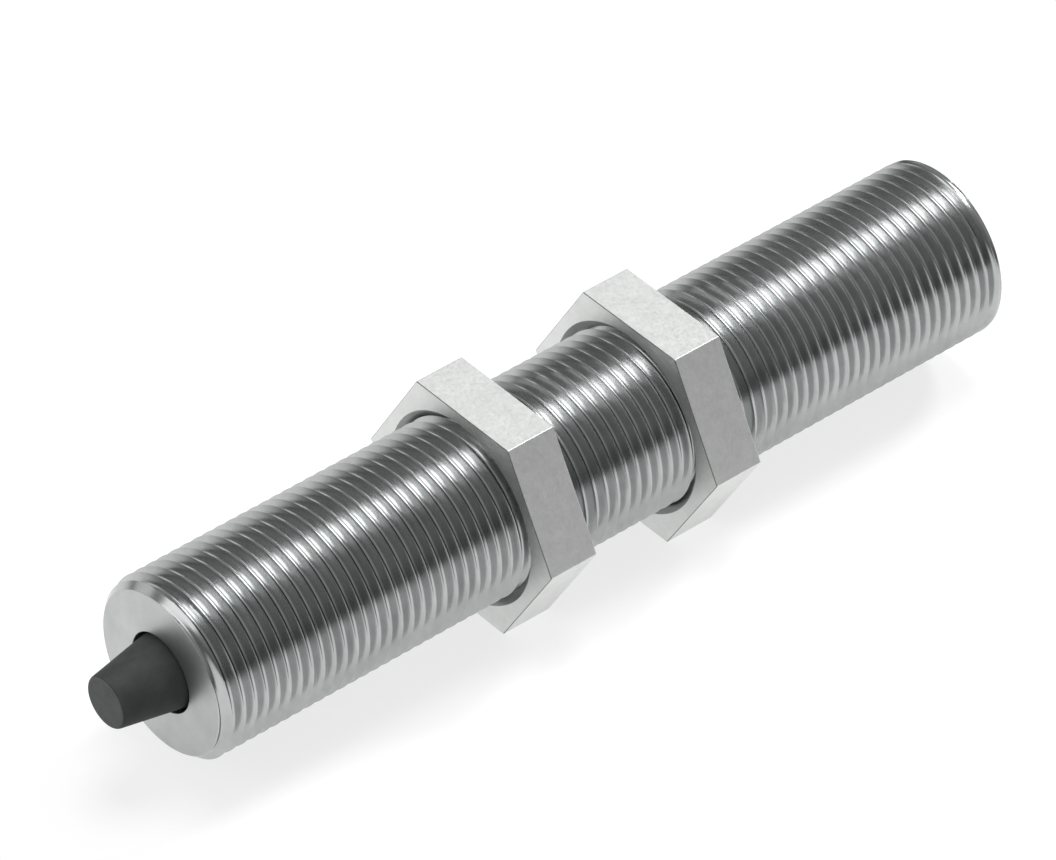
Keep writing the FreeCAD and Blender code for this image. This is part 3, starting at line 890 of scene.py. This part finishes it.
@dataclass
class LockNut:
    """Thin hexagon nut with a countersunk, threaded bore.

    The columns are a multiple of six, so that each ring has a point at each corner. The minor depth goes
    from the thread's largest radius inwards. Edges farther from X than the mouth of the bore by the outer
    margin belong to the hexagon.
    """

    columns: int = 72
    play_mm: float = 0.05
    minor_depth_mm: float = 0.54
    countersink_mm: float = 0.55
    edge_mm: float = 0.05
    fade_mm: float = 0.001
    outer_margin: float = 1.05
    outer_edge_deg: float = 20.0
    sharp_deg: float = 12.0

    def build(self, node: str, tree: SurfaceTree, finish: bpy.types.Material) -> bpy.types.Object:
        """Hexagonal prism round an internal thread.

        Args:
            node: CAD node of the nut, also its body.
            tree: Tree of the thread.
            finish: Material of the nut.

        Returns:
            The piece.
        """
        low, high = box_mm(node)
        crest = BARREL_HIGH.z + self.play_mm
        mouth = crest + self.countersink_mm
        surface = THREAD.surface(
            tree, finish, self.columns, Side.INSIDE, low.x, high.x - low.x, crest, self.minor_depth_mm,
            mouth, mouth, self.fade_mm)
        mesh = bmesh.new()
        mesh.from_mesh(surface)
        round_mouth = [mouth] * self.columns
        flats = [self._reach(column, high.z) for column in range(self.columns)]
        outline = ((low.x, round_mouth), (low.x, flats), (high.x, flats), (high.x, round_mouth))
        add_bands(mesh, [add_ring(mesh, x, radii) for x, radii in outline], closed=False)
        weld(mesh)
        marks = mesh.faces.layers.float.new(EDGE_LINE)
        reach = mouth * MM * self.outer_margin
        outside = [edge for edge in sharp_edges(mesh, self.outer_edge_deg) if self._lies_beyond(edge, reach)]
        for face in round_edges(mesh, outside, self.edge_mm):
            if face.calc_center_median().x < (low.x + self.edge_mm) * MM:
                face[marks] = 1.0
        return place_piece(f"{node}_body", mesh, finish, node, [node], self.sharp_deg)

    def _reach(self, column: int, half_width: float) -> float:
        """Distance from X to the hexagon, whose first flat faces +Z, in the direction of a column."""
        angle = FULL_TURN * column / self.columns
        return half_width / math.cos(math.remainder(angle - FULL_TURN / 4, FULL_TURN / 6))

    def _lies_beyond(self, edge: bmesh.types.BMEdge, reach: float) -> bool:
        """Whether an edge is farther from X than this, in m, and so belongs to the hexagon."""
        return min(math.hypot(vert.co.y, vert.co.z) for vert in edge.verts) > reach


@dataclass
class ImpactCap:
    """Elastomer button with a blind hole for the rod."""

    columns: int = 64
    arc_steps: int = 8
    tip_radius_mm: float = 2.0
    tip_rounding_mm: float = 0.3
    shoulder_rounding_mm: float = 0.6
    skirt_mm: float = 1.9
    skirt_rounding_mm: float = 0.2
    stub_radius_mm: float = 1.25
    sharp_deg: float = 40.0

    def build(self, finish: bpy.types.Material) -> bpy.types.Object:
        """Turned cone with a short skirt.

        Args:
            finish: Material of the cap.

        Returns:
            The piece.
        """
        stub_x = box_mm("piston_rod")[0].x
        mesh = bmesh.new()
        add_turned(mesh, rounded_path([
            Corner(CAP_LOW.x, 0.0),
            Corner(CAP_LOW.x, self.tip_radius_mm, self.tip_rounding_mm),
            Corner(CAP_HIGH.x - self.skirt_mm, CAP_HIGH.z, self.shoulder_rounding_mm),
            Corner(CAP_HIGH.x, CAP_HIGH.z, self.skirt_rounding_mm),
            Corner(CAP_HIGH.x, self.stub_radius_mm),
            Corner(stub_x, self.stub_radius_mm),
            Corner(stub_x, 0.0),
        ], closed=False, steps=self.arc_steps), self.columns, closed=False)
        weld(mesh)
        return place_piece("cap_button", mesh, finish, "rod", ["impact_cap"], self.sharp_deg)


@dataclass
class SoftRings:
    """Lip seal, wiper, gaskets and foam sleeve, with the soft corners of moulded parts."""

    columns: int = 64
    gasket_section_mm: float = 0.9
    gasket_rounding_mm: float = 0.42
    foam_wall_mm: float = 1.52
    foam_rounding_mm: float = 0.35
    lip_clearance_mm: float = 0.03
    seal_heel_mm: float = 1.2
    seal_heel_lift_mm: float = 0.08
    seal_heel_roundings_mm: Point = (0.12, 0.2)
    seal_opening_mm: float = 0.6
    seal_valley_rounding_mm: float = 0.08
    seal_lip_rounding_mm: float = 0.1
    wiper_lip_mm: float = 0.5
    wiper_lip_heights_mm: Point = (0.25, 0.6)
    wiper_lip_roundings_mm: tuple[float, float, float] = (0.05, 0.08, 0.1)
    wiper_rim_rounding_mm: float = 0.15
    wiper_heel_rounding_mm: float = 0.1
    sharp_deg: float = 40.0

    def build(self, finishes: dict[Slot, bpy.types.Material]) -> None:
        """Build every ring.

        Args:
            finishes: Material of each slot.
        """
        lip = box_mm("piston_rod")[1].z + self.lip_clearance_mm
        self._ring("lip_seal", "rod_seal", self._seal_outline(lip), finishes)
        self._ring("wiper_ring", "scraper", self._wiper_outline(lip), finishes)
        for node in ("guide_gasket", "plug_gasket"):
            outline = self._plain_outline(node, self.gasket_section_mm, self.gasket_rounding_mm)
            self._ring(f"{node}_ring", node, outline, finishes)
        foam = self._plain_outline("accumulator_foam", self.foam_wall_mm, self.foam_rounding_mm)
        self._ring("foam_sleeve", "accumulator_foam", foam, finishes)

    def _ring(self, name: str, node: str, outline: Sequence[Corner],
              finishes: dict[Slot, bpy.types.Material]) -> None:
        """Turn a closed outline into a ring.

        Args:
            name: Name of the piece.
            node: CAD node that it stands for.
            outline: Corners of its section.
            finishes: Material of each slot.
        """
        mesh = bmesh.new()
        add_turned(mesh, rounded_path(outline, closed=True), self.columns, closed=True)
        weld(mesh)
        slot = slot_of(node)
        place_piece(name, mesh, finishes[slot], body_of(node), [node], self.sharp_deg)

    def _plain_outline(self, node: str, wall: float, rounding: float) -> list[Corner]:
        """Rounded rectangle of a sleeve or gasket.

        Args:
            node: CAD node of the ring.
            wall: Wall from its outer radius inwards, in mm.
            rounding: Rounding of its edges, in mm.

        Returns:
            The corners.
        """
        low, high = box_mm(node)
        inner = high.z - wall
        places = ((low.x, inner), (low.x, high.z), (high.x, high.z), (high.x, inner))
        return [Corner(x, radius, rounding) for x, radius in places]

    def _seal_outline(self, lip: float) -> list[Corner]:
        """U-shaped section whose lips open towards the oil.

        Args:
            lip: Radius of the inner lip, in mm.

        Returns:
            The corners.
        """
        low, high = box_mm("rod_seal")
        middle, half = (lip + high.z) / 2, self.seal_opening_mm / 2
        inner_heel, outer_heel = self.seal_heel_roundings_mm
        tip = self.seal_lip_rounding_mm
        return [
            Corner(low.x, lip + self.seal_heel_lift_mm, inner_heel),
            Corner(low.x, high.z, outer_heel),
            Corner(high.x, high.z, tip),
            Corner(high.x, middle + half, tip),
            Corner(low.x + self.seal_heel_mm, middle, self.seal_valley_rounding_mm),
            Corner(high.x, middle - half, tip),
            Corner(high.x, lip, tip),
        ]

    def _wiper_outline(self, lip: float) -> list[Corner]:
        """Section of the wiper, whose lip points at the cap.

        Args:
            lip: Radius of the lip, in mm.

        Returns:
            The corners.
        """
        low, high = box_mm("scraper")
        heel = low.x + self.wiper_lip_mm
        tip_height, root_height = self.wiper_lip_heights_mm
        edge, tip, root = self.wiper_lip_roundings_mm
        return [
            Corner(low.x, lip, edge),
            Corner(low.x, lip + tip_height, tip),
            Corner(heel, lip + root_height, root),
            Corner(heel, high.z, self.wiper_rim_rounding_mm),
            Corner(high.x, high.z, self.wiper_rim_rounding_mm),
            Corner(high.x, lip, self.wiper_heel_rounding_mm),
        ]


@dataclass
class TurnedParts:
    """Metal parts whose solids only need their edges broken and their curves smoothed."""

    edge_mm: float = 0.05
    flat_deg: float = 1.0
    sharp_deg: float = 30.0
    nodes: tuple[str, ...] = (
        "piston_rod", "rod_guide", "guide_bush", "centring_ring", "pressure_tube", "piston", "check_ring",
        "piston_nut", "rear_plug", "fill_screw")

    def build(self, finishes: dict[Slot, bpy.types.Material]) -> None:
        """Finish a copy of each solid.

        Args:
            finishes: Material of each slot.
        """
        flat = math.radians(self.flat_deg)
        for node in self.nodes:
            mesh = bmesh.new()
            mesh.from_mesh(frame["nodes"][node].data)
            weld(mesh)
            bmesh.ops.dissolve_limit(mesh, angle_limit=flat, verts=mesh.verts, edges=mesh.edges)
            round_edges(mesh, sharp_edges(mesh, self.sharp_deg), self.edge_mm)
            slot = slot_of(node)
            place_piece(f"{node}_turned", mesh, finishes[slot], body_of(node), [node], self.sharp_deg)


@dataclass
class ReturnCoil:
    """Flat-wire compression spring whose end turns are closed and ground flat.

    The first and last row of the wire, up to a small share of its length, shrink to a point and close it.
    """

    turns: int = 9
    closed_turns: float = 1.0
    closed_pitch_mm: float = 0.64
    wire_mm: float = 0.6
    wire_width_mm: float = 0.8
    corner_power: float = 0.4
    end_share: float = 0.0001
    steps_per_turn: int = 30
    section_points: int = 20
    joint: str = "rod_slide"
    sharp_deg: float = 45.0

    def tree(self) -> SurfaceTree:
        """Tree of the wire: a grid bent round the wire's section and wound about X.

        Returns:
            The tree.
        """
        surface = SurfaceTree("return_coil", (
            "Start", "Length", "Radius", "Thickness", "Width", "Closed Pitch", "Closed Turns", "Corner Power",
            "End Share"), ("Turns", "Rows", "Columns"))
        nodes, given, row = surface.nodes, surface.given, surface.row_share
        winding = nodes.math("MULTIPLY", row, given["Turns"])
        closed = nodes.math("DIVIDE", given["Closed Turns"], given["Turns"])
        stretch = nodes.span(row, closed, nodes.math("SUBTRACT", 1.0, closed), 0.0, 1.0)
        packed = nodes.math("MULTIPLY", given["Closed Pitch"], given["Turns"])
        spare = nodes.math("SUBTRACT", given["Length"], packed)
        travel = nodes.math("ADD", nodes.math("MULTIPLY", given["Closed Pitch"], winding),
                            nodes.math("MULTIPLY", stretch, spare))
        centre = nodes.math("ADD", given["Start"], travel)
        around = nodes.math("MULTIPLY", surface.column_share, FULL_TURN)
        last_row = nodes.math("SUBTRACT", 1.0, given["End Share"])
        inside = nodes.math("MULTIPLY", nodes.math("GREATER_THAN", row, given["End Share"]),
                            nodes.math("LESS_THAN", row, last_row))
        width = nodes.math("MULTIPLY", given["Width"], inside)
        thickness = nodes.math("MULTIPLY", given["Thickness"], inside)
        across = self._offset(surface, nodes.math("COSINE", around), width)
        along = self._offset(surface, nodes.math("SINE", around), thickness)
        end = nodes.math("ADD", given["Start"], given["Length"])
        free = nodes.math("ADD", centre, along)
        place = nodes.math("MINIMUM", nodes.math("MAXIMUM", free, given["Start"]), end)
        angle = nodes.math("MULTIPLY", winding, FULL_TURN)
        surface.finish(nodes.polar(place, nodes.math("ADD", given["Radius"], across), angle))
        return surface

    def _offset(self, surface: SurfaceTree, wave: Socket, size: Socket) -> Socket:
        """Offset from the wire's middle in one direction, for a section with rounded corners.

        Args:
            surface: The tree of the wire.
            wave: Cosine or sine of the angle round the section.
            size: Size of the section in this direction.

        Returns:
            The offset.
        """
        nodes = surface.nodes
        steep = nodes.math("POWER", nodes.math("ABSOLUTE", wave), surface.given["Corner Power"])
        squared = nodes.math("MULTIPLY", nodes.math("SIGN", wave), steep)
        return nodes.math("MULTIPLY", nodes.math("MULTIPLY", size, 0.5), squared)

    def build(self, finish: bpy.types.Material) -> bpy.types.Object:
        """Wind the spring between piston and plug.

        Args:
            finish: Material of the wire.

        Returns:
            The piece.
        """
        low, high = box_mm("return_spring")
        length = high.x - low.x
        lengths_mm = {
            "Start": low.x, "Length": length, "Radius": high.z - self.wire_width_mm / 2,
            "Thickness": self.wire_mm, "Width": self.wire_width_mm, "Closed Pitch": self.closed_pitch_mm,
        }
        mesh = bmesh.new()
        mesh.from_mesh(self.tree().mesh({label: value * MM for label, value in lengths_mm.items()} | {
            "Corner Power": self.corner_power, "End Share": self.end_share, "Closed Turns": self.closed_turns,
            "Turns": self.turns, "Rows": self.turns * self.steps_per_turn + 1,
            "Columns": self.section_points, "Finish": finish,
        }))
        weld(mesh)
        coil = place_piece(
            "return_coil", mesh, finish, "barrel", ["return_spring"], self.sharp_deg)
        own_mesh(coil)
        return coil


# Studio


@dataclass(frozen=True)
class SoftLamp:
    """Far soft lamp: a disc of the sky."""

    name: str
    towards: tuple[float, float, float]
    strength: float
    spread_deg: float

    def build(self) -> None:
        """Add the lamp."""
        data = bpy.data.lights.new(self.name, "SUN")
        data.energy = self.strength
        data.angle = math.radians(self.spread_deg)
        lamp = bpy.data.objects.new(self.name, data)
        bpy.context.scene.collection.objects.link(lamp)
        lamp.rotation_mode = "QUATERNION"
        lamp.rotation_quaternion = Vector(self.towards).to_track_quat("Z", "Y")


LAMPS = (
    SoftLamp("key_lamp_left", towards=(0.14, 0.1, 0.98), strength=1.05, spread_deg=26.0),
    SoftLamp("key_lamp_middle", towards=(0.45, 0.08, 0.88), strength=0.25, spread_deg=36.0),
    SoftLamp("key_lamp_right", towards=(0.79, 0.06, 0.61), strength=1.7, spread_deg=14.0),
    SoftLamp("side_lamp", towards=(-0.76, 0.24, 0.6), strength=0.5, spread_deg=40.0),
    SoftLamp("back_lamp", towards=(-0.43, 0.87, 0.22), strength=0.12, spread_deg=26.0),
)


@dataclass
class Studio:
    """Pale floor with a painted pool of light, soft lamps, a grey room and the camera."""

    floor_size_m: float = 8.0
    floor_glow: float = 0.75
    floor_shade: float = 0.32
    floor_roughness: float = 0.9
    floor_specular: float = 0.1
    painted_pool_start_m: float = 0.06
    painted_pool_end_m: float = 0.3
    painted_pool_rest: float = 0.25
    horizon_height: float = 0.05
    room_height: float = 0.5
    horizon_level: float = 0.1
    room_level: float = 0.33
    azimuth_deg: float = -41.747
    elevation_deg: float = 40.332
    roll_deg: float = 1.417
    distance_mm: float = 522.18
    aim_mm: tuple[float, float, float] = (34.934, 1.922, 1.689)
    lens_mm: float = 250.93
    sensor_mm: float = 36.0
    clip_m: Point = (0.01, 50.0)

    def build(self) -> None:
        """Set up all of it."""
        scene = bpy.context.scene
        scene.view_settings.view_transform = "Standard"
        scene.camera = self._camera()
        self._floor()
        self._world()
        for lamp in LAMPS:
            lamp.build()

    def _camera(self) -> bpy.types.Object:
        """Camera at the photograph's place.

        Returns:
            The camera.
        """
        azimuth, elevation = math.radians(self.azimuth_deg), math.radians(self.elevation_deg)
        reach = math.cos(elevation)
        back = Vector((math.sin(azimuth) * reach, -math.cos(azimuth) * reach, math.sin(elevation)))
        data = bpy.data.cameras.new("camera")
        data.lens = self.lens_mm
        data.sensor_width = self.sensor_mm
        data.clip_start, data.clip_end = self.clip_m
        camera = bpy.data.objects.new("camera", data)
        bpy.context.scene.collection.objects.link(camera)
        camera.location = (Vector(self.aim_mm) + back * self.distance_mm) * MM
        camera.rotation_mode = "QUATERNION"
        level = (-back).to_track_quat("-Z", "Y")
        roll = Matrix.Rotation(math.radians(self.roll_deg), 4, "Z").to_quaternion()
        camera.rotation_quaternion = level @ roll
        return camera

    def _floor(self) -> None:
        """White floor that the nuts' flats stand on; it keeps the shadow."""
        half = self.floor_size_m / 2
        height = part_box("front_nut")[0][2]
        corners = [(x * half, y * half, height) for x, y in ((-1, -1), (1, -1), (1, 1), (-1, 1))]
        data = bpy.data.meshes.new("floor")
        data.from_pydata(corners, [], [(0, 1, 2, 3)])
        data.materials.append(self._paper(height))
        floor = bpy.data.objects.new("floor", data)
        bpy.context.scene.collection.objects.link(floor)

    def _paper(self, height: float) -> bpy.types.Material:
        """Paper that glows for the camera and in mirror images, with a painted pool of light: its glow and
        its colour fade with the distance from the part.

        Args:
            height: Height of the floor, in m.

        Returns:
            The material.
        """
        material = bpy.data.materials.new("floor_paper")
        material.use_nodes = True
        nodes = Nodes(material.node_tree)
        shader = material.node_tree.nodes["Principled BSDF"]
        shader.inputs["Roughness"].default_value = self.floor_roughness
        shader.inputs["Specular IOR Level"].default_value = self.floor_specular
        shader.inputs["Emission Color"].default_value = (1.0, 1.0, 1.0, 1.0)
        place = nodes.add("ShaderNodeTexCoord").outputs["Object"]
        middle = (self.aim_mm[0] * MM, 0.0, height)
        away = nodes.add("ShaderNodeVectorMath", {0: place, 1: middle}, operation="DISTANCE")
        # Painted pool of light: the floor's glow and colour fade with the distance from the part.
        painted_pool = nodes.span(away.outputs["Value"], self.painted_pool_start_m, self.painted_pool_end_m, 1.0, self.painted_pool_rest)
        rays = nodes.add("ShaderNodeLightPath").outputs
        mirrored = nodes.math("MAXIMUM", rays["Is Glossy Ray"], rays["Is Transmission Ray"])
        seen = nodes.math("MAXIMUM", rays["Is Camera Ray"], mirrored)
        glow = nodes.math("MULTIPLY", nodes.math("MULTIPLY", seen, self.floor_glow), painted_pool)
        nodes.feed(shader.inputs["Emission Strength"], glow)
        paper = (self.floor_shade,) * 3
        nodes.feed(shader.inputs["Base Color"], nodes.blend(painted_pool, (0.0, 0.0, 0.0), paper))
        return material

    def _world(self) -> None:
        """Grey room, darker towards the horizon."""
        world = bpy.data.worlds.new("room")
        bpy.context.scene.world = world
        world.use_nodes = True
        nodes = Nodes(world.node_tree)
        background = world.node_tree.nodes["Background"]
        direction = nodes.add("ShaderNodeTexCoord").outputs["Generated"]
        height = nodes.add("ShaderNodeSeparateXYZ", {0: direction}).outputs[2]
        level = nodes.span(height, self.horizon_height, self.room_height, self.horizon_level, self.room_level)
        nodes.feed(background.inputs["Strength"], level)
        background.inputs["Color"].default_value = (1.0, 1.0, 1.0, 1.0)


def main() -> None:
    logging.basicConfig(level=logging.INFO, format="%(message)s")
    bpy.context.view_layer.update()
    groups = SurfaceGroups()
    finishes = {finish.slot: finish.material(groups) for finish in FINISHES}
    tree = THREAD.tree()
    Barrel().build(tree, finishes[Slot.BARREL])
    for node in ("front_nut", "rear_nut"):
        LockNut().build(node, tree, finishes[Slot.NUT])
    ImpactCap().build(finishes[Slot.CAP])
    SoftRings().build(finishes)
    TurnedParts().build(finishes)
    ReturnCoil().build(finishes[Slot.SPRING])
    Studio().build()


if __name__ == "__main__":
    main()
